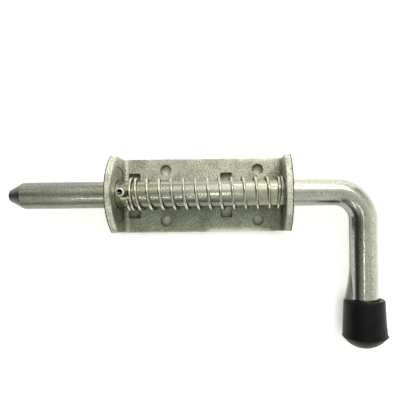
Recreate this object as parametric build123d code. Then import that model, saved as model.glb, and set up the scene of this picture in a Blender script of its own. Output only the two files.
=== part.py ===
"""Spring latch bolt: a folded bracket with two ears, a bent round bolt with a rubber
end cap, a slotted roll pin through the bolt, and the compression spring between them.

Millimetres, +Z up. The origin is the middle of the four screw holes, on the back of
the bracket's plate. The bolt lies along X with its tip towards -X, and its handle
hangs towards -Y.
"""

import os
from math import cos, sin, tau

from build123d import *

# Bracket: one folded sheet
sheet = 4.0
plate_width = 46.0
left_face = -58.8
right_face = 47.9
inner_bend = 2.5
shoulder_height = 17.8
ear_height = 31.1
shoulder_rounding = 1.6
rim_rounding = 0.5
screw_hole_diameter = 7.1
screw_pitch_x = 57.5
screw_pitch_y = 31.8
slot_width = 7.4
slot_length = 28.2
slot_centres = (-48.4, 9.0)
slot_corner = 0.9
bolt_height = 14.6
ear_hole_diameter = 17.1
press_mark_radius = 16.4
press_mark_depth = 0.3

# Bolt: one bent round bar, its handle pressed a little wider than it is deep
bar_diameter = 16.0
handle_width = 16.8
tip = -119.5
cone_length = 8.4
nose_diameter = 7.2
nose_rounding = 1.3
cone_rounding = 2.0
nose_stock = 10.0
handle_x = 91.3
bend_radius = 17.0
bar_end = -84.0

# Swaged lug on the handle, the ledge that the end cap is pushed up to
lug_top = -38.0
lug_middle = -55.0
lug_bottom = -64.3
lug_middle_reach = 1.5
lug_reach = 3.6
lug_depth = 7.0
lug_sink = 0.1

# Roll pin: a rolled and slotted tube
pin_x = -49.5
pin_diameter = 4.8
pin_bore = 3.2
pin_slit = 0.9
pin_chamfer = 0.45
pin_above_axis = 17.0
pin_below_axis = 7.4

# Compression spring, from beside the roll pin to the right ear
wire = 1.7
coil_radius = 9.35
spring_start = -47.95
spring_start_turn = -0.68
closed_pitch = 1.9
open_pitch = 7.08
first_open_turn = 0.95
last_open_turn = 13.0
spring_end_turn = 14.3
points_per_turn = 10

# Rubber end cap
cap_mouth = -64.5
cap_corner = -86.5
cap_dome = 7.0
cap_mouth_radius = 12.1
cap_corner_radius = 13.05
cap_edge = 0.8

bar_radius = bar_diameter / 2
pin_radius = pin_diameter / 2


def make_bracket():
    """The plate and its two ears: a folded strip, cut to the ears' round outline."""
    outer_bend = inner_bend + sheet
    length = right_face - left_face
    middle = (left_face + right_face) / 2
    strip = Pos(middle, 0, ear_height / 2) * Box(length, plate_width, ear_height)
    strip = fillet(strip.edges().filter_by(Axis.Y).group_by(Axis.Z)[0], outer_bend)
    hollow_height = ear_height - sheet
    hollow = Pos(middle, 0, sheet + hollow_height / 2) * Box(
        length - 2 * sheet, plate_width, hollow_height
    )
    hollow = fillet(hollow.edges().filter_by(Axis.Y).group_by(Axis.Z)[0], inner_bend)
    folded = strip - hollow

    half = plate_width / 2
    outline = Polyline((-half, shoulder_height), (-half, 0), (half, 0), (half, shoulder_height))
    crown = ThreePointArc((half, shoulder_height), (0, ear_height), (-half, shoulder_height))
    ear_face = make_face([*outline.edges(), crown])
    ear_face = fillet(ear_face.vertices().group_by(Axis.Y)[-1], shoulder_rounding)
    ear_plane = Plane(origin=(left_face, 0, 0), x_dir=(0, 1, 0), z_dir=(1, 0, 0))
    ears = extrude(ear_plane * ear_face, length)
    folded = folded & ears

    rims = folded.edges().filter_by(lambda edge: edge.center().Z > shoulder_height)
    rims = rims.filter_by(Axis.X, reverse=True).filter_by(lambda edge: edge.length > 10)
    folded = fillet(rims, rim_rounding)

    along_x = Rot(0, 90, 0)
    folded -= Pos(middle, 0, bolt_height) * along_x * Cylinder(ear_hole_diameter / 2, length + 2)
    mark_x = left_face + sheet - press_mark_depth / 2
    folded -= Pos(mark_x, 0, bolt_height) * along_x * Cylinder(press_mark_radius, press_mark_depth)

    holes = GridLocations(screw_pitch_x, screw_pitch_y, 2, 2)
    folded -= [place * Cylinder(screw_hole_diameter / 2, 3 * sheet) for place in holes]
    slot = extrude(RectangleRounded(slot_width, slot_length, slot_corner), 2 * sheet, both=True)
    folded -= [Pos(x, 0, 0) * slot for x in slot_centres]
    return folded


def handle_section(y):
    """The handle's oval outline at a place down its length."""
    plane = Plane(origin=(handle_x, y, bolt_height), x_dir=(1, 0, 0), z_dir=(0, -1, 0))
    return plane * Ellipse(handle_width / 2, bar_radius)


def make_bar():
    """The bar's straight run, its bend, and the handle."""
    run_start = tip + cone_length + nose_stock
    run_end = handle_x - bend_radius
    run_section = Plane(origin=(run_start, 0, bolt_height), z_dir=(1, 0, 0)) * Circle(bar_radius)
    run = extrude(run_section, run_end - run_start)

    bend_start = Plane(origin=(run_end, 0, bolt_height), x_dir=(0, 1, 0), z_dir=(1, 0, 0))
    bend = sweep(
        [bend_start * Ellipse(bar_radius, bar_radius), handle_section(-bend_radius)],
        path=Pos(0, 0, bolt_height) * JernArc((run_end, 0), (1, 0), bend_radius, -90),
        multisection=True,
    )
    handle = extrude(handle_section(-bend_radius), -bend_radius - bar_end)
    return run + bend + handle


def make_nose():
    """The turned nose, with a short stretch of full bar behind its cone."""
    cone_end = tip + cone_length
    outline = Polyline(
        (cone_end + nose_stock, 0),
        (tip, 0),
        (tip, nose_diameter / 2),
        (cone_end, bar_radius),
        (cone_end + nose_stock, bar_radius),
        close=True,
    )
    face = make_face(outline)
    corner = face.vertices().sort_by_distance((tip, nose_diameter / 2))[0]
    face = fillet(corner, nose_rounding)
    corner = face.vertices().sort_by_distance((cone_end, bar_radius))[0]
    face = fillet(corner, cone_rounding)
    return Pos(0, 0, bolt_height) * revolve(face, Axis.X)


def make_lug():
    """The swaged lug: a fin squeezed out of the handle's left side, with a flat ledge."""
    sections = []
    for y, reach in (
        (lug_top, -lug_sink),
        (lug_middle, lug_middle_reach),
        (lug_bottom, lug_reach),
    ):
        half_width = (handle_width / 2 + reach) / 2
        plane = Plane(
            origin=(handle_x - half_width, y, bolt_height), x_dir=(1, 0, 0), z_dir=(0, -1, 0)
        )
        sections.append(plane * Ellipse(half_width, lug_depth / 2))
    return loft(sections)


def make_bolt():
    """The bar with its turned nose, the lug, and the hole for the roll pin."""
    pin_hole = Pos(pin_x, 0, bolt_height) * Cylinder(pin_radius, 2 * bar_diameter)
    return make_bar() + make_nose() + make_lug() - pin_hole


def make_roll_pin():
    """A rolled tube with a slit down its left side, chamfered at both ends."""
    length = pin_above_axis + pin_below_axis
    tube = Cylinder(pin_radius, length, align=(Align.CENTER, Align.CENTER, Align.MIN))
    tube = chamfer(tube.edges().filter_by(GeomType.CIRCLE), pin_chamfer)
    bore = Cylinder(pin_bore / 2, 3 * length)
    slit = Pos(-pin_radius, 0, length / 2) * Box(2 * pin_radius, pin_slit, 2 * length)
    return Pos(pin_x, 0, bolt_height - pin_below_axis) * (tube - bore - slit)


def spring_advance(turn):
    """How far along X the wire's middle has come at a turn counted from the top."""
    closed_before = min(turn, first_open_turn) - spring_start_turn
    opened = min(max(turn - first_open_turn, 0), last_open_turn - first_open_turn)
    closed_after = max(turn - last_open_turn, 0)
    return spring_start + closed_pitch * (closed_before + closed_after) + open_pitch * opened


def make_spring():
    """A right-handed coil with a closed turn at each end."""
    turns = spring_end_turn - spring_start_turn
    count = round(turns * points_per_turn)
    points = []
    for step in range(count + 1):
        turn = spring_start_turn + turns * step / count
        angle = tau * turn
        points.append(
            (
                spring_advance(turn),
                coil_radius * cos(angle),
                bolt_height + coil_radius * sin(angle),
            )
        )
    path = Spline(points)
    start = Plane(origin=path @ 0, z_dir=path % 0)
    return sweep(start * Circle(wire / 2), path, is_frenet=True)


def make_end_cap():
    """The rubber cap, a little wider at its domed foot, moulded to the bar's end."""
    outline = Polyline(
        (0, cap_mouth),
        (cap_mouth_radius, cap_mouth),
        (cap_corner_radius, cap_corner),
    )
    lowest = cap_corner - cap_dome
    dome_radius = (cap_corner_radius**2 + cap_dome**2) / (2 * cap_dome)
    dome = RadiusArc((cap_corner_radius, cap_corner), (0, lowest), dome_radius)
    axis_line = Line((0, lowest), (0, cap_mouth))
    face = make_face([*outline.edges(), dome, axis_line])
    rounded = face.vertices().sort_by_distance((cap_mouth_radius, cap_mouth))[0]
    face = fillet(rounded, cap_edge)
    rounded = face.vertices().sort_by_distance((cap_corner_radius, cap_corner))[0]
    face = fillet(rounded, cap_edge)
    cap = Pos(handle_x, 0, bolt_height) * revolve(face, Axis.Y)
    return cap - extrude(handle_section(cap_mouth), cap_mouth - bar_end)


def main():
    os.makedirs("parts", exist_ok=True)
    export_step(make_bracket(), "parts/bracket.step")
    export_step(make_bolt(), "parts/bolt.step")
    export_step(make_roll_pin(), "parts/roll_pin.step")
    export_step(make_spring(), "parts/spring.step")
    export_step(make_end_cap(), "parts/end_cap.step")


main()
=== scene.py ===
import math

import bmesh
import bpy
from mathutils import Matrix, Vector


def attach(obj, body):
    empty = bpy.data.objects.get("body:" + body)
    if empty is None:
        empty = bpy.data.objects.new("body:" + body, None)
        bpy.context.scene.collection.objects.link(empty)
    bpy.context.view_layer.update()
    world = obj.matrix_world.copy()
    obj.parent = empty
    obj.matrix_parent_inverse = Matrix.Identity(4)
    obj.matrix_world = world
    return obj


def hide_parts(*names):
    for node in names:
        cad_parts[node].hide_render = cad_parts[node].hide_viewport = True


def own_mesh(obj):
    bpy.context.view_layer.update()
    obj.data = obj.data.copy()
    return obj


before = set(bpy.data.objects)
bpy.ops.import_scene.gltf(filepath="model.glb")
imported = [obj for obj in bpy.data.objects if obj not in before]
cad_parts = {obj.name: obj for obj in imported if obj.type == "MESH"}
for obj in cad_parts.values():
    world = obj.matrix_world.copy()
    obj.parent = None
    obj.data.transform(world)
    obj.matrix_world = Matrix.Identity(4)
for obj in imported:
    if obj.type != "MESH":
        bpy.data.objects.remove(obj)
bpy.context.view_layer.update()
print("frame loaded")

mm = 0.001
upZ = Vector((0, 0, 1))

# What several pieces share, in millimetres
boltAxisHeight = 14.6
handleAxisX = 91.3
bendRadius = 17.0

# Camera: straight above, a quarter of a metre up, with its place in millimetres
camera = {
    "place": (17.07, -20.79, 245.57),
    "turn": -0.0126,
    "lens": 34.65,
    "sensor": 36,
    "shift": (-0.0989, 0.0697),
    "nearest": 10,
}


def makeCamera():
    data = bpy.data.cameras.new("photoCamera")
    data.lens = camera["lens"]
    data.sensor_width = camera["sensor"]
    data.shift_x, data.shift_y = camera["shift"]
    data.clip_start = camera["nearest"] * mm
    cameraObject = bpy.data.objects.new("photoCamera", data)
    cameraObject.location = Vector(camera["place"]) * mm
    cameraObject.rotation_euler = (0, 0, camera["turn"])
    bpy.context.scene.collection.objects.link(cameraObject)
    bpy.context.scene.camera = cameraObject


# Lamps, in millimetres: brightness is what a mirror would show of the lamp, 1 being white
lamps = {
    "keyLamp": {
        "place": (300, 480, 620),
        "aim": (0, 0, 5),
        "size": (260, 260),
        "brightness": 11.0,
        "colour": (1.06, 1.0, 0.84),
    },
    "windowBehind": {
        "place": (240, 560, 170),
        "aim": (40, 0, 10),
        "size": (520, 330),
        "brightness": 1.05,
        "colour": (1.0, 0.99, 0.98),
    },
    "fillInFront": {
        "place": (-260, -450, 420),
        "aim": (0, 0, 5),
        "size": (200, 160),
        "brightness": 0.25,
        "colour": (0.97, 1.05, 0.88),
    },
    "tubeAlongBolt": {
        "place": (-225, -441, 600),
        "aim": (-60, 0, 14),
        "size": (290, 12),
        "brightness": 16.0,
        "colour": (1.0, 1.0, 0.93),
    },
    "tubeAlongHandle": {
        "place": (-30, -110, 600),
        "aim": (91, -40, 14),
        "size": (12, 170),
        "brightness": 12.0,
        "colour": (1.0, 1.0, 0.95),
    },
}


def makeLamps():
    for name, lamp in lamps.items():
        width, depth = (side * mm for side in lamp["size"])
        data = bpy.data.lights.new(name, "AREA")
        data.shape = "RECTANGLE"
        data.size = width
        data.size_y = depth
        data.energy = lamp["brightness"] * math.pi * width * depth
        data.color = lamp["colour"]
        place = Vector(lamp["place"]) * mm
        towards = (Vector(lamp["aim"]) * mm - place).normalized()
        sideways = Vector((1, 0, 0)) - towards * towards.x
        sideways.normalize()
        upwards = sideways.cross(towards) * -1
        turn = Matrix((sideways, -upwards, -towards)).transposed().to_4x4()
        lampObject = bpy.data.objects.new(name, data)
        lampObject.matrix_world = Matrix.Translation(place) @ turn
        lampObject.visible_camera = False
        bpy.context.scene.collection.objects.link(lampObject)


# Node helpers
def addNode(tree, kind, sockets=None, settings=None):
    made = tree.nodes.new(kind)
    for name, value in (settings or {}).items():
        setattr(made, name, value)
    for name, value in (sockets or {}).items():
        plug(tree, made.inputs[name], value)
    return made


def plug(tree, socket, value):
    if isinstance(value, bpy.types.NodeSocket):
        tree.links.new(value, socket)
    elif socket.type == "RGBA":
        socket.default_value = (*value, 1)
    else:
        socket.default_value = value


def calculate(tree, operation, *values):
    made = tree.nodes.new("ShaderNodeMath")
    made.operation = operation
    for socket, value in zip(made.inputs, values):
        plug(tree, socket, value)
    return made.outputs[0]


def multiply(tree, first, *others):
    for other in others:
        first = calculate(tree, "MULTIPLY", first, other)
    return first


def splitUp(tree, vector):
    return addNode(tree, "ShaderNodeSeparateXYZ", {"Vector": vector}).outputs


def joinUp(tree, x, y, z):
    return addNode(tree, "ShaderNodeCombineXYZ", {"X": x, "Y": y, "Z": z}).outputs[0]


def noise(tree, position, scale, detail, roughness=0.5):
    # The scale counts the noise's cells in a metre
    sockets = {"Vector": position, "Scale": scale, "Detail": detail, "Roughness": roughness}
    return addNode(tree, "ShaderNodeTexNoise", sockets).outputs["Fac"]


def ramp(tree, factor, stops):
    made = addNode(tree, "ShaderNodeValToRGB", {"Fac": factor})
    elements = made.color_ramp.elements
    while len(elements) < len(stops):
        elements.new(0.5)
    for element, (position, colour) in zip(elements, stops):
        element.position = position
        element.color = (*colour, 1)
    return made.outputs["Color"]


def mixColours(tree, factor, first, second, blend="MIX"):
    settings = {"data_type": "RGBA", "blend_type": blend}
    made = addNode(tree, "ShaderNodeMix", settings=settings)
    for index, value in ((0, factor), (6, first), (7, second)):
        plug(tree, made.inputs[index], value)
    return made.outputs[2]


def mixValues(tree, factor, first, second):
    made = addNode(tree, "ShaderNodeMix")
    for index, value in ((0, factor), (2, first), (3, second)):
        plug(tree, made.inputs[index], value)
    return made.outputs[0]


def remap(tree, value, limits, results=(0, 1)):
    made = addNode(tree, "ShaderNodeMapRange", {
        "Value": value,
        "From Min": limits[0], "From Max": limits[1],
        "To Min": results[0], "To Max": results[1],
    })
    return made.outputs[0]


def remapPlace(tree, value, limits, results=(0, 1)):
    # The same with its limits in millimetres
    return remap(tree, value, [limit * mm for limit in limits], results)


def softBand(tree, value, limits, edge):
    # One between two limits in millimetres, with a soft edge at each
    low, high = limits
    rise = remapPlace(tree, value, (low - edge, low + edge))
    fall = remapPlace(tree, value, (high - edge, high + edge), (1, 0))
    return multiply(tree, rise, fall)


def distanceFrom(tree, first, second):
    squares = [multiply(tree, value, value) for value in (first, second)]
    return calculate(tree, "SQRT", calculate(tree, "ADD", *squares))


def objectPosition(tree):
    return addNode(tree, "ShaderNodeTexCoord").outputs["Object"]


def addBump(tree, shader, height, bump):
    strength, distance = bump
    sockets = {"Strength": strength, "Distance": distance * mm, "Height": height}
    plug(tree, shader.inputs["Normal"], addNode(tree, "ShaderNodeBump", sockets).outputs[0])


def newMaterial(name):
    material = bpy.data.materials.new(name)
    material.use_nodes = True
    tree = material.node_tree
    return material, tree, tree.nodes["Principled BSDF"]


# Room: its brightness at angles across, from the left wall over the ceiling to the right one,
# in rows that lean from the front (minus) to the back. Angles are in degrees
room = {
    "across": (-90, -58, -48, -14, -5, 18, 38, 62, 90),
    "rows": (
        (-65, (0.02, 0.48, 0.46, 0.05, 0.20, 0.98, 0.95, 0.33, 0.10)),
        (-22, (0.18, 0.02, 0.42, 0.64, 0.72, 0.82, 0.45, 0.90, 1.08)),
        (4, (0.12, 0.05, 0.01, 0.26, 0.52, 0.72, 1.00, 1.27, 1.40)),
        (45, (0.13, 0.85, 0.30, 1.20, 1.55, 1.60, 0.56, 0.35, 0.68)),
    ),
    "colour": (1.0, 1.03, 0.90),
    "strength": 2.0,
    "backdropTop": (0.02, 0.06),  # as the sine of the angle above the floor
}


def seenDirectly(tree):
    # The white background shows to the camera, and in what mirrors it or lets it through
    rays = addNode(tree, "ShaderNodeLightPath").outputs
    mirrored = calculate(tree, "MAXIMUM", rays["Is Glossy Ray"], rays["Is Transmission Ray"])
    return rays["Is Camera Ray"], mirrored


def makeWorld():
    world = bpy.data.worlds.new("room")
    bpy.context.scene.world = world
    world.use_nodes = True
    tree = world.node_tree
    tree.nodes.clear()
    direction = addNode(tree, "ShaderNodeTexCoord").outputs["Generated"]
    parts = splitUp(tree, direction)
    across = calculate(tree, "ARCTAN2", parts["X"], parts["Z"])
    share = remap(tree, across, (-math.pi / 2, math.pi / 2))
    lean = calculate(tree, "ARCSINE", parts["Y"])
    places = [(angle + 90) / 180 for angle in room["across"]]
    rows = []
    for angle, levels in room["rows"]:
        stops = [
            (place, [level / room["strength"] * part for part in room["colour"]])
            for place, level in zip(places, levels)
        ]
        rows.append((math.radians(angle), ramp(tree, share, stops)))
    angleBefore, roomColour = rows[0]
    for angle, row in rows[1:]:
        roomColour = mixColours(tree, remap(tree, lean, (angleBefore, angle)), roomColour, row)
        angleBefore = angle

    # A white backdrop stands along the foot of the room, and fills the room for the camera
    toCamera, mirrored = seenDirectly(tree)
    foot = remap(tree, parts["Z"], room["backdropTop"], (1, 0))
    whiteShare = calculate(tree, "MAXIMUM", toCamera, multiply(tree, mirrored, foot))
    mixed = addNode(tree, "ShaderNodeMixShader", {"Fac": whiteShare})
    for index, colour, strength in ((1, roomColour, room["strength"]), (2, (1, 1, 1), 1.0)):
        sockets = {"Color": colour, "Strength": strength}
        light = addNode(tree, "ShaderNodeBackground", sockets)
        plug(tree, mixed.inputs[index], light.outputs[0])
    addNode(tree, "ShaderNodeOutputWorld", {"Surface": mixed.outputs[0]})


# Floor, in millimetres: it glows white to the camera round the latch, darker close to it,
# where the glow fades as a painted contact shade, and is unlit by glow under the plate, where
# the holes and slots show it with painted shade
floor = {
    "size": 4000,
    "height": -0.2,
    "colour": (0.93, 0.93, 0.90),
    "underColour": (0.97, 0.97, 0.85),
    "holeShadeColour": (0.10, 0.10, 0.075),
    "holeShade": (0.13, 0.32),  # openness at which it is dark, and pale
    "glow": 0.58,
    "roughness": 0.9,
    "gloss": 0.1,
    "contactShadeReach": 8,  # how far round it the openness of its glow looks
    "holeShadeReach": 40,  # and the openness of its shade under the plate
    "reachSamples": 8,
    "underPlate": ((-5.45, 53.0), (0.0, 22.7)),  # middle and half size along X, then Y
}


def makeFloor():
    mesh = bpy.data.meshes.new("floor")
    build = bmesh.new()
    bmesh.ops.create_grid(build, x_segments=1, y_segments=1, size=floor["size"] * mm / 2)
    bmesh.ops.translate(build, verts=build.verts, vec=upZ * floor["height"] * mm)
    build.to_mesh(mesh)
    build.free()
    floorObject = bpy.data.objects.new("floor", mesh)
    bpy.context.scene.collection.objects.link(floorObject)
    material, tree, shader = newMaterial("paleFloor")
    plug(tree, shader.inputs["Roughness"], floor["roughness"])
    plug(tree, shader.inputs["Specular IOR Level"], floor["gloss"])
    openness, holeOpenness = (
        addNode(
            tree, "ShaderNodeAmbientOcclusion", {"Distance": floor[reach] * mm},
            {"samples": floor["reachSamples"]},
        ).outputs["AO"]
        for reach in ("contactShadeReach", "holeShadeReach")
    )
    parts = splitUp(tree, objectPosition(tree))
    beyond = []
    for part, (middle, half) in zip((parts["X"], parts["Y"]), floor["underPlate"]):
        away = calculate(tree, "ABSOLUTE", calculate(tree, "SUBTRACT", part, middle * mm))
        beyond.append(calculate(tree, "GREATER_THAN", away, half * mm))
    outside = calculate(tree, "MAXIMUM", *beyond)
    # Painted shade in the holes and slots: darker where less of the room above is open to the
    # floor
    holeShadeMask = remap(tree, holeOpenness, floor["holeShade"])
    under = mixColours(tree, holeShadeMask, floor["holeShadeColour"], floor["underColour"])
    plug(tree, shader.inputs["Base Color"], mixColours(tree, outside, under, floor["colour"]))
    seen = calculate(tree, "MAXIMUM", *seenDirectly(tree))
    # The glow fades where little is open round the floor: a painted contact shade close to the
    # latch
    glow = multiply(tree, openness, outside, seen, floor["glow"])
    plug(tree, shader.inputs["Emission Color"], (1, 1, 1))
    plug(tree, shader.inputs["Emission Strength"], glow)
    mesh.materials.append(material)


# Mottle of the plated and steel finishes: a fine grain over broader patches
mottle = {
    "inputs": {
        "Position": "NodeSocketVector",
        "Grain Size": "NodeSocketFloat",
        "Patch Size": "NodeSocketFloat",
        "Patch Share": "NodeSocketFloat",
        "Light Colour": "NodeSocketColor",
        "Dark Colour": "NodeSocketColor",
    },
    "outputs": {
        "Colour": "NodeSocketColor",
        "Grain": "NodeSocketFloat",
        "Patches": "NodeSocketFloat",
    },
    "grainNoise": (3.0, 0.65),  # detail and roughness
    "grainFrom": (0.32, 0.68),
    "patchNoise": (4.0, 0.6),
    "patchFrom": (0.35, 0.65),
}


def makeMottleGroup():
    group = bpy.data.node_groups.new("zincMottle", "ShaderNodeTree")
    for direction, labels in (("INPUT", mottle["inputs"]), ("OUTPUT", mottle["outputs"])):
        for label, kind in labels.items():
            group.interface.new_socket(label, in_out=direction, socket_type=kind)
    given = group.nodes.new("NodeGroupInput").outputs
    result = group.nodes.new("NodeGroupOutput").inputs
    grain = noise(group, given["Position"], given["Grain Size"], *mottle["grainNoise"])
    patches = noise(group, given["Position"], given["Patch Size"], *mottle["patchNoise"])
    grainMask = remap(group, grain, mottle["grainFrom"])
    patchMask = remap(group, patches, mottle["patchFrom"])
    both = mixValues(group, given["Patch Share"], grainMask, patchMask)
    colour = mixColours(group, both, given["Dark Colour"], given["Light Colour"])
    plug(group, result["Colour"], colour)
    plug(group, result["Grain"], grainMask)
    plug(group, result["Patches"], patchMask)
    return group


def mottled(tree, group, look, position):
    sockets = {
        "Position": position,
        "Grain Size": look["grainSize"],
        "Patch Size": look["patchSize"],
        "Patch Share": look["patchShare"],
        "Light Colour": look["light"],
        "Dark Colour": look["dark"],
    }
    return addNode(tree, "ShaderNodeGroup", sockets, {"node_tree": group}).outputs


# Plated sheet: rims and marks are placed by the folded bracket's own outline
sheetZinc = {
    "light": (0.84, 0.82, 0.72),
    "dark": (0.125, 0.123, 0.098),
    "grainSize": 1250.0,
    "patchSize": 110.0,
    "patchShare": 0.25,
    "roughness": (0.60, 0.44),
    "bump": (0.45, 0.2),  # strength, and depth in millimetres
    "fleckNoise": (1300.0, 1.0),  # scale and detail
    "fleckFrom": (0.58, 0.66),
    "fleckStrength": 0.75,
    "fleckAndHighlight": (0.96, 0.94, 0.88),
    "frontShade": (0.64, 0.71, 0.63),
    "frontShadeFrom": (6.0, -9.0),
    "halfWidth": 23.0,
    "crown": (26.5, 4.6),  # radius of the ears' round top, and height of its centre
    "rimFrom": (0.958, 0.990),  # as shares of the way out to the edge
    "rim": (0.86, 0.85, 0.79),
    "rimUneven": (0.0, 0.5),
    "rimCover": (0.25, 1.0),
    "rimPitFrom": (0.40, 0.34),
    "rimPitStrength": 0.6,
    "rimMetal": 0.55,
    "rimRoughness": 0.75,
    "middleX": -5.45,
    "outerArris": (52.6, 53.27),  # out from middleX
    "arrisEdge": 0.07,
    "arris": (0.10, 0.10, 0.09),
    "foldBelow": 6.5,
    "wornFrom": (0.87, 0.97),  # as shares of halfWidth
    "wornFront": (-6.0, 36.0),
    "wornBack": (18.0, 44.0),
    "wornEdge": 5.0,
    "wornUneven": (0.0, 0.7),
    "wornCover": (0.25, 1.0),
    "wornStrength": 0.75,
    "fold": (-53.4, -51.7),
    "foldEdge": 0.5,
    "foldStrength": 0.22,
    "ring": (16.15, 16.65),
    "ringFace": (-55.6, -53.4),
    "ringEdge": 0.12,
    "ringStrength": 0.8,
    "ringDark": (0.14, 0.14, 0.12),
}


def makeSheetZinc(mottleGroup):
    look = sheetZinc
    material, tree, shader = newMaterial("sheetZinc")
    position = objectPosition(tree)
    parts = splitUp(tree, position)
    finish = mottled(tree, mottleGroup, look, position)
    spots = noise(tree, position, *look["fleckNoise"])
    flecks = remap(tree, spots, look["fleckFrom"], (0, look["fleckStrength"]))
    flecks = multiply(tree, flecks, finish["Patches"])
    colour = mixColours(tree, flecks, finish["Colour"], look["fleckAndHighlight"])

    # Painted shade: greener and darker towards the front, where the bar shades the plate
    frontShadeShare = remapPlace(tree, parts["Y"], look["frontShadeFrom"])
    colour = mixColours(tree, frontShadeShare, colour, look["frontShade"], "MULTIPLY")

    # Sheared rims of the ears and long edges of the plate: bare, uneven and pitted, bright from
    # bare metal and a painted highlight
    fromCentre = calculate(tree, "ABSOLUTE", parts["Y"])
    sideways = calculate(tree, "DIVIDE", fromCentre, look["halfWidth"] * mm)
    crownRadius, crownHeight = look["crown"]
    aboveCrown = calculate(tree, "SUBTRACT", parts["Z"], crownHeight * mm)
    fromCrown = distanceFrom(tree, parts["Y"], aboveCrown)
    outwards = calculate(tree, "DIVIDE", fromCrown, crownRadius * mm)
    nearRim = remap(tree, calculate(tree, "MAXIMUM", sideways, outwards), look["rimFrom"])
    uneven = multiply(tree, finish["Grain"], finish["Patches"])
    cover = remap(tree, uneven, look["rimUneven"], look["rimCover"])
    colour = mixColours(tree, multiply(tree, nearRim, cover), colour, look["rim"])
    pits = remap(tree, spots, look["rimPitFrom"], (0, look["rimPitStrength"]))
    colour = mixColours(tree, multiply(tree, pits, nearRim), colour, look["arris"])

    # Painted dark reflection on the rounded outer arris of each ear
    fromMiddle = calculate(tree, "SUBTRACT", parts["X"], look["middleX"] * mm)
    fromMiddle = calculate(tree, "ABSOLUTE", fromMiddle)
    arris = softBand(tree, fromMiddle, look["outerArris"], look["arrisEdge"])
    colour = mixColours(tree, multiply(tree, arris, nearRim), colour, look["arris"])

    # Stretches of the plate's long edges made bright: worn zinc with a painted highlight
    lowDown = calculate(tree, "LESS_THAN", parts["Z"], look["foldBelow"] * mm)
    inFront = calculate(tree, "LESS_THAN", parts["Y"], 0.0)
    front, back = (
        softBand(tree, parts["X"], look[stretch], look["wornEdge"])
        for stretch in ("wornFront", "wornBack")
    )
    stretches = mixValues(tree, inFront, back, front)
    nearEdge = remap(tree, sideways, look["wornFrom"])
    cover = remap(tree, finish["Patches"], look["wornUneven"], look["wornCover"])
    wearAndHighlight = multiply(tree, stretches, nearEdge, cover, lowDown, look["wornStrength"])
    colour = mixColours(tree, wearAndHighlight, colour, look["fleckAndHighlight"])

    # Painted highlight along the fold at the foot of the left ear
    fold = softBand(tree, parts["X"], look["fold"], look["foldEdge"])
    foldHighlight = multiply(tree, fold, lowDown, look["foldStrength"])
    colour = mixColours(tree, foldHighlight, colour, look["fleckAndHighlight"])

    # Ring pressed into the left ear round the bolt
    aboveBolt = calculate(tree, "SUBTRACT", parts["Z"], boltAxisHeight * mm)
    fromBolt = distanceFrom(tree, parts["Y"], aboveBolt)
    ring = softBand(tree, fromBolt, look["ring"], look["ringEdge"])
    onFace = softBand(tree, parts["X"], look["ringFace"], look["ringEdge"])
    ring = multiply(tree, ring, onFace, look["ringStrength"])
    colour = mixColours(tree, ring, colour, look["ringDark"])

    plug(tree, shader.inputs["Base Color"], colour)
    plug(tree, shader.inputs["Metallic"], remap(tree, nearRim, (0, 1), (1.0, look["rimMetal"])))
    roughness = remap(tree, finish["Grain"], (0, 1), look["roughness"])
    rimRoughness = multiply(tree, nearRim, look["rimRoughness"])
    roughness = calculate(tree, "MAXIMUM", roughness, rimRoughness)
    plug(tree, shader.inputs["Roughness"], roughness)
    addBump(tree, shader, calculate(tree, "SUBTRACT", finish["Grain"], ring), look["bump"])
    return material


def barCoordinates(tree):
    # Along the bar, across it and up, following the bend to the handle
    parts = splitUp(tree, objectPosition(tree))
    bendStart = (handleAxisX - bendRadius) * mm
    pastBend = calculate(tree, "MAXIMUM", calculate(tree, "SUBTRACT", parts["X"], bendStart), 0.0)
    aboveLeg = calculate(tree, "MAXIMUM", calculate(tree, "ADD", parts["Y"], bendRadius * mm), 0.0)
    fromBend = distanceFrom(tree, pastBend, aboveLeg)
    across = calculate(tree, "SUBTRACT", fromBend, bendRadius * mm)
    onRun = calculate(tree, "MINIMUM", parts["X"], bendStart)
    onBend = multiply(tree, calculate(tree, "ARCTAN2", pastBend, aboveLeg), bendRadius * mm)
    legDrop = calculate(tree, "SUBTRACT", -bendRadius * mm, parts["Y"])
    onLeg = calculate(tree, "MAXIMUM", legDrop, 0.0)
    along = calculate(tree, "ADD", calculate(tree, "ADD", onRun, onBend), onLeg)
    return along, across, parts["Z"]


# Plated bar: drawn along its length, with a turned nose. Places run along the bar from the
# middle of the screw holes, round the bend and down the handle; across is out from its axis,
# minus being the front of the run and the inner side of the bend
barZinc = {
    "light": (0.62, 0.61, 0.53),
    "dark": (0.36, 0.37, 0.31),
    "grainSize": 700.0,
    "patchSize": 70.0,
    "patchShare": 0.4,
    "roughness": (0.22, 0.16),
    "bump": (0.06, 0.1),
    "drawnOut": 0.05,
    "streakNoise": (1000.0, 3.0),
    "streakFrom": (0.35, 0.65),
    "streakDark": (0.34, 0.34, 0.34),
    "streakLight": (0.60, 0.60, 0.60),
    "streakShare": 0.25,
    "pitNoise": (1150.0, 1.0),
    "pitFrom": (0.62, 0.68),
    "pitCover": (0.3, 0.9),
    "pit": (0.16, 0.16, 0.15),
    "flank": (0.38, 0.41, 0.42),
    "flankFrom": (4.4, 6.2),
    "innerEasing": (0.0, 48.0),
    "innerOnHandle": 0.55,
    "outerRise": (-75.0, -59.0),
    "outerOnRun": 0.6,
    "outerFall": (42.0, 52.0),
    "front": (0.99, 1.0, 0.93),
    "frontFrom": (2.0, -2.0),
    "frontTo": (36.0, 52.0),
    "stainAndEarReflection": (1.0, 0.94, 0.74),
    "stains": ((-66.0, -31.0), (24.0, 42.0)),
    "stainEdge": 6.0,
    "stainCover": (0.4, 1.0),
    "noseFrom": (-111.5, -110.9),
    "nose": (0.070, 0.070, 0.064),
    "lugFrom": (-7.7, -8.3),
    "lugRoughness": 0.55,
}


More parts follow.
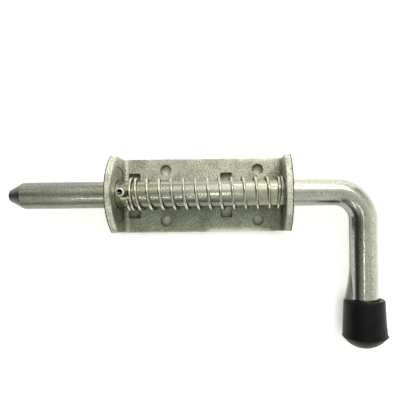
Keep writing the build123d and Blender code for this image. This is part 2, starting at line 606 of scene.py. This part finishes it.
def makeBarZinc(mottleGroup):
    look = barZinc
    material, tree, shader = newMaterial("barZinc")
    along, across, up = barCoordinates(tree)
    place = joinUp(tree, along, across, up)
    drawnPlace = joinUp(tree, multiply(tree, along, look["drawnOut"]), across, up)
    finish = mottled(tree, mottleGroup, look, place)
    streaks = remap(tree, noise(tree, drawnPlace, *look["streakNoise"]), look["streakFrom"])
    streakColour = mixColours(tree, streaks, look["streakDark"], look["streakLight"])
    colour = mixColours(tree, look["streakShare"], finish["Colour"], streakColour)
    pits = remap(tree, noise(tree, place, *look["pitNoise"]), look["pitFrom"])
    pits = multiply(tree, pits, remap(tree, finish["Patches"], (0, 1), look["pitCover"]))
    colour = mixColours(tree, pits, colour, look["pit"])

    # Painted shade along the front of the run and on round the bend's inner side, and along the
    # back of the run
    inwards = multiply(tree, across, -1.0)
    inner = remapPlace(tree, inwards, look["flankFrom"])
    innerShare = remapPlace(tree, along, look["innerEasing"], (1, look["innerOnHandle"]))
    outer = remapPlace(tree, across, look["flankFrom"])
    outerShare = remapPlace(tree, along, look["outerRise"], (1, look["outerOnRun"]))
    beforeBend = remapPlace(tree, along, look["outerFall"], (1, 0))
    outer = multiply(tree, outer, outerShare, beforeBend)
    flank = calculate(tree, "MAXIMUM", multiply(tree, inner, innerShare), outer)
    colour = mixColours(tree, flank, colour, look["flank"], "MULTIPLY")

    # A little greener along the front of the run
    onFront = remapPlace(tree, across, look["frontFrom"])
    onFront = multiply(tree, onFront, remapPlace(tree, along, look["frontTo"], (1, 0)))
    colour = mixColours(tree, onFront, colour, look["front"], "MULTIPLY")

    # Stained, with a painted reflection of the ears, beside the pin and before the right ear
    stains = [softBand(tree, along, ends, look["stainEdge"]) for ends in look["stains"]]
    stained = calculate(tree, "MAXIMUM", *stains)
    cover = remap(tree, finish["Patches"], (0, 1), look["stainCover"])
    colour = mixColours(tree, multiply(tree, stained, cover), colour, look["stainAndEarReflection"], "MULTIPLY")

    # Dark turned nose, and a lug that was squeezed out dull
    onNose = remapPlace(tree, along, look["noseFrom"], (1, 0))
    colour = mixColours(tree, onNose, colour, look["nose"])
    roughness = remap(tree, finish["Grain"], (0, 1), look["roughness"])
    onLug = remapPlace(tree, across, look["lugFrom"], (0, look["lugRoughness"]))
    plug(tree, shader.inputs["Base Color"], colour)
    plug(tree, shader.inputs["Metallic"], 1.0)
    plug(tree, shader.inputs["Roughness"], calculate(tree, "MAXIMUM", roughness, onLug))
    addBump(tree, shader, streaks, look["bump"])
    return material


# Pin: dark rolled steel, bright where its top ring is worn
pinSteel = {
    "light": (0.22, 0.22, 0.20),
    "dark": (0.08, 0.08, 0.075),
    "grainSize": 1500.0,
    "patchSize": 200.0,
    "patchShare": 0.4,
    "roughness": (0.45, 0.28),
    "bright": (0.80, 0.79, 0.74),
    "brightFrom": (31.0, 31.25),
}


def makePinSteel(mottleGroup):
    look = pinSteel
    material, tree, shader = newMaterial("pinSteel")
    position = objectPosition(tree)
    finish = mottled(tree, mottleGroup, look, position)
    onRing = remapPlace(tree, splitUp(tree, position)["Z"], look["brightFrom"])
    colour = mixColours(tree, onRing, finish["Colour"], look["bright"])
    plug(tree, shader.inputs["Base Color"], colour)
    plug(tree, shader.inputs["Metallic"], 1.0)
    plug(tree, shader.inputs["Roughness"], remap(tree, finish["Grain"], (0, 1), look["roughness"]))
    return material


# Spring wire: brighter zinc than the sheet, with a silky gloss
springZinc = {
    "light": (0.72, 0.71, 0.62),
    "dark": (0.28, 0.28, 0.24),
    "grainSize": 1300.0,
    "patchSize": 120.0,
    "patchShare": 0.4,
    "roughness": (0.28, 0.14),
}


def makeSpringZinc(mottleGroup):
    look = springZinc
    material, tree, shader = newMaterial("springZinc")
    finish = mottled(tree, mottleGroup, look, objectPosition(tree))
    plug(tree, shader.inputs["Base Color"], finish["Colour"])
    plug(tree, shader.inputs["Metallic"], 1.0)
    plug(tree, shader.inputs["Roughness"], remap(tree, finish["Grain"], (0, 1), look["roughness"]))
    return material


# Rubber: near black, with a soft gloss
rubber = {
    "light": (0.0075, 0.0080, 0.0090),
    "dark": (0.0040, 0.0042, 0.0050),
    "cloudNoise": (90.0, 3.0),
    "cloudFrom": (0.3, 0.7),
    "speckleNoise": (900.0, 2.0),
    "gloss": 0.13,
    "roughness": (0.34, 0.46),
    "bump": (0.08, 0.1),
}


def makeBlackRubber():
    look = rubber
    material, tree, shader = newMaterial("blackRubber")
    position = objectPosition(tree)
    cloud = remap(tree, noise(tree, position, *look["cloudNoise"]), look["cloudFrom"])
    plug(tree, shader.inputs["Base Color"], mixColours(tree, cloud, look["dark"], look["light"]))
    plug(tree, shader.inputs["Specular IOR Level"], look["gloss"])
    plug(tree, shader.inputs["Roughness"], remap(tree, cloud, (0, 1), look["roughness"]))
    addBump(tree, shader, noise(tree, position, *look["speckleNoise"]), look["bump"])
    return material


def finishPiece(name, build, material, body):
    mesh = bpy.data.meshes.new(name)
    bmesh.ops.remove_doubles(build, verts=build.verts, dist=0.001 * mm)
    bmesh.ops.recalc_face_normals(build, faces=build.faces)
    for face in build.faces:
        face.smooth = True
    build.to_mesh(mesh)
    build.free()
    mesh.materials.append(material)
    piece = bpy.data.objects.new(name, mesh)
    bpy.context.scene.collection.objects.link(piece)
    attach(piece, body)
    return piece


# Spring: places are where the wire's middle stands along the bolt at each turn, counted
# from the side away from the handle. The pin pushes it at pushedTurn, and it stays at the
# right ear
spring = {
    "wire": 1.7,
    "coilRadius": 9.35,
    "places": (
        (-0.68, -48.2),
        (-0.5, -47.7),
        (0.0, -47.06),
        (0.25, -46.2),
        (1.0, -44.48),
        (2.0, -37.77),
        (13.0, 40.46),
        (13.3, 41.3),
        (14.3, 42.97),
    ),
    "leanPerTurn": -0.13,
    "leanFrom": 1.5,
    "leanTurns": 11,
    "smoothing": 0.12,
    "stepsPerTurn": 36,
    "sides": 14,
    "pushedTurn": 0.25,
    "stays": 42.9,
    "travel": 58.5,
}


def springPlace(turn):
    # Past its ends, the outermost stretches of the table go on
    places = spring["places"]
    for (turnBefore, before), (turnAfter, after) in zip(places, places[1:]):
        if turn <= turnAfter or turnAfter == places[-1][0]:
            share = (turn - turnBefore) / (turnAfter - turnBefore)
            return before + (after - before) * share


def springPoint(turn):
    window = spring["smoothing"]
    even = sum(springPlace(turn + window * shift) for shift in (-1, -0.5, 0, 0.5, 1)) / 5
    leaning = min(max(turn - spring["leanFrom"], 0), spring["leanTurns"])
    lean = leaning * spring["leanPerTurn"]
    angle = math.tau * turn
    return Vector((
        even + lean * (1 - math.cos(angle)) / 2,
        spring["coilRadius"] * math.cos(angle),
        boltAxisHeight + spring["coilRadius"] * math.sin(angle),
    )) * mm


def makeSpring(material):
    build = bmesh.new()
    firstTurn = spring["places"][0][0]
    lastTurn = spring["places"][-1][0]
    steps = round((lastTurn - firstTurn) * spring["stepsPerTurn"])
    turns = [firstTurn + (lastTurn - firstTurn) * step / steps for step in range(steps + 1)]
    points = [springPoint(turn) for turn in turns]
    bmesh.ops.create_circle(
        build, cap_ends=True, segments=spring["sides"], radius=spring["wire"] * mm / 2
    )
    ring = build.verts[:]
    ringEdges = build.edges[:]
    heading = upZ
    place = Vector((0, 0, 0))
    for index, point in enumerate(points):
        before = points[max(index - 1, 0)]
        after = points[min(index + 1, steps)]
        newHeading = (after - before).normalized()
        if index > 0:
            grown = bmesh.ops.extrude_edge_only(build, edges=ringEdges)["geom"]
            ring = [part for part in grown if isinstance(part, bmesh.types.BMVert)]
            ringEdges = [edge for edge in build.edges if edge.is_boundary]
        turnTo = heading.rotation_difference(newHeading).to_matrix()
        bmesh.ops.rotate(build, verts=ring, cent=place, matrix=turnTo)
        bmesh.ops.translate(build, verts=ring, vec=point - place)
        heading = newHeading
        place = point
    bmesh.ops.contextual_create(build, geom=ringEdges)
    piece = finishPiece("springCoil", build, material, "spring")
    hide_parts("spring")
    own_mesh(piece)


# Rubber cap: outline gives the radius and how far down the handle each ring lies
rubberCap = {
    "outline": (
        (8.6, -67.5),
        (8.75, -65.9),
        (9.1, -65.0),
        (9.7, -64.6),
        (11.2, -64.5),
        (11.8, -64.75),
        (12.1, -65.3),
        (12.16, -66.5),
        (12.6, -77.0),
        (13.0, -85.5),
    ),
    "lip": (13.3, -86.2),
    "flare": 0.8,
    "flareReach": 1.4,
    "flareSharpness": 3,
    "corner": (13.05, -86.6),
    "lowest": -93.5,
    "domeSteps": 12,
    "segments": 96,
}


def makeRubberCap(material):
    build = bmesh.new()
    cornerRadius, cornerDown = rubberCap["corner"]
    domeDepth = cornerDown - rubberCap["lowest"]
    domeRadius = (cornerRadius ** 2 + domeDepth ** 2) / (2 * domeDepth)
    domeAngle = math.asin(cornerRadius / domeRadius)
    outline = [*rubberCap["outline"], rubberCap["lip"]]
    for step in range(rubberCap["domeSteps"] + 1):
        angle = domeAngle * (1 - step / rubberCap["domeSteps"])
        rise = domeRadius * (1 - math.cos(angle))
        outline.append((domeRadius * math.sin(angle), rubberCap["lowest"] + rise))
    axis = Vector((handleAxisX, 0, boltAxisHeight)) * mm
    verts = [build.verts.new(axis + Vector((radius, down, 0)) * mm) for radius, down in outline]
    for first, second in zip(verts, verts[1:]):
        build.edges.new((first, second))
    bmesh.ops.spin(
        build,
        geom=build.verts[:] + build.edges[:],
        cent=axis,
        axis=(0, 1, 0),
        angle=math.tau,
        steps=rubberCap["segments"],
        use_merge=True,
    )
    for vert in build.verts:
        # The lip stands out furthest on the side away from the latch
        outwards = (vert.co - axis) / (rubberCap["lip"][0] * mm)
        fromLip = abs(vert.co.y / mm - rubberCap["lip"][1]) / rubberCap["flareReach"]
        share = max(outwards.x, 0) ** rubberCap["flareSharpness"] * max(1 - fromLip, 0)
        vert.co.x += rubberCap["flare"] * mm * share
    piece = finishPiece("rubberCap", build, material, "bolt")
    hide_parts("end_cap")


def dressNode(name, material):
    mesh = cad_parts[name].data
    mesh.materials.clear()
    mesh.materials.append(material)


makeCamera()
makeLamps()
makeWorld()
makeFloor()
print("camera, lamps, room and floor made")

mottleGroup = makeMottleGroup()
dressNode("bracket", makeSheetZinc(mottleGroup))
dressNode("bolt", makeBarZinc(mottleGroup))
dressNode("roll_pin", makePinSteel(mottleGroup))
print("bracket, bolt and roll pin finished")

makeSpring(makeSpringZinc(mottleGroup))
makeRubberCap(makeBlackRubber())
print("spring and rubber cap made")

bpy.context.scene.view_settings.view_transform = "Standard"
